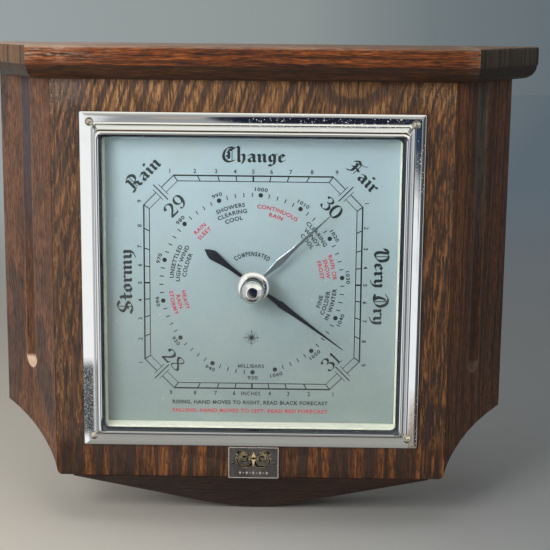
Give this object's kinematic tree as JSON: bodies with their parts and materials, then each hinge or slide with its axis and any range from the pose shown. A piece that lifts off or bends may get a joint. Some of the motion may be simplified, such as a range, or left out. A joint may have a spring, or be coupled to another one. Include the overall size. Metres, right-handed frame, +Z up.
{
  "type": "aneroid wall barometer",
  "caption": "Square-dial aneroid wall barometer: oak case with canted fluted sides and cornice, plated bezel, glazed dial, indicating and set hands, full movement.",
  "frame": {"origin": "on the back board's rear face, in the plane of the wall, level with the centre of the dial", "axes": "+Z up, +Y into the wall, +X to the right of someone reading the dial, which faces -Y"},
  "size_m": [0.3074, 0.0746, 0.2565],
  "materials": {
    "oak": "stained oak, waxed, open grain",
    "oak_dark": "darker stained oak, waxed",
    "plywood": "bare plywood",
    "chrome": "polished plating, lightly pitted",
    "brass": "satin, lightly tarnished",
    "steel": "satin",
    "zinc": "dull zinc plate",
    "blued_steel": "blued, satin",
    "glass": "clear, polished",
    "cream_paint": "satin cream",
    "dial_enamel": "silvered pale blue grey, satin, printed",
    "pewter": "darkened metal with bright engraving"
  },
  "bodies": {
    "case": {"front_panel": "oak", "left_side_board": "oak", "right_side_board": "oak", "bottom_apron": "oak_dark", "cornice": "oak_dark", "left_batten": "oak", "right_batten": "oak", "back_board": "plywood", "hanger_plate": "brass", "hanger_screw_1": "brass", "hanger_screw_2": "brass", "back_screw_1": "steel", "back_screw_2": "steel", "back_screw_3": "steel", "back_screw_4": "steel", "name_plate": "pewter", "name_plate_pin_1": "brass", "name_plate_pin_2": "brass", "bezel": "chrome", "bezel_screw_1": "brass", "bezel_screw_2": "brass", "bezel_screw_3": "brass", "bezel_screw_4": "brass", "glass": "glass", "glass_spacer": "cream_paint", "dial_plate": "dial_enamel", "movement_pan": "zinc", "dial_pillar_1": "brass", "dial_pillar_2": "brass", "dial_pillar_3": "brass", "dial_pillar_4": "brass", "glass_bush": "chrome", "bush_nut": "brass", "movement_base_plate": "brass", "base_screw_1": "steel", "base_screw_2": "steel", "base_screw_3": "steel", "aneroid_capsule": "brass", "capsule_key": "steel", "mainspring": "steel", "mainspring_screw_1": "steel", "mainspring_screw_2": "steel", "shaft_bracket": "brass", "arbor_bridge": "brass", "bridge_pillar_1": "brass", "bridge_pillar_2": "brass", "hairspring_stud": "brass", "hairspring": "blued_steel"},
    "hand_unit": {"indicating_hand": "blued_steel", "hand_arbor": "brass"},
    "set_hand_unit": {"set_knob": "chrome", "set_hand": "chrome", "set_hand_nut": "chrome"},
    "lever_unit": {"main_lever": "brass", "link_rod": "steel"},
    "shaft_unit": {"regulating_shaft": "steel"},
    "chain_unit": {"chain": "steel"},
    "adjuster": {"adjusting_screw": "steel"}
  },
  "joints": [
    {"name": "hand_turn", "type": "hinge", "parent": "case", "child": "hand_unit", "pos_m": [0, -0.05, 0], "axis": [0, 1, 0], "range_deg": [-277, 23], "stiffness_Nm_per_rad": 0.012},
    {"name": "set_hand_turn", "type": "hinge", "parent": "case", "child": "set_hand_unit", "pos_m": [0.0011, -0.06, -0.0006], "axis": [0, 1, 0], "continuous": true},
    {"name": "lever_flex", "type": "hinge", "parent": "case", "child": "lever_unit", "pos_m": [-0.034, -0.0324, 0], "axis": [0, 0, 1], "range_deg": [-1.42, 0.15]},
    {"name": "shaft_swing", "type": "hinge", "parent": "case", "child": "shaft_unit", "pos_m": [0.04, -0.026, 0], "axis": [0, 0, 1], "range_deg": [-28, 2.6]},
    {"name": "chain_travel", "type": "slide", "parent": "case", "child": "chain_unit", "axis": [1, 0, 0], "range_m": [-0.0078, 0.0007]},
    {"name": "adjusting_screw_turn", "type": "hinge", "parent": "case", "child": "adjuster", "pos_m": [-0.032, -0.013, 0], "axis": [0, 1, 0], "range_deg": [-180, 180]}
  ],
  "couplings": [
    {"joint": "lever_flex", "follows": "hand_turn", "ratio": 0.005},
    {"joint": "shaft_swing", "follows": "hand_turn", "ratio": 0.1},
    {"joint": "chain_travel", "follows": "hand_turn", "m_per_rad": 0.0016}
  ]
}
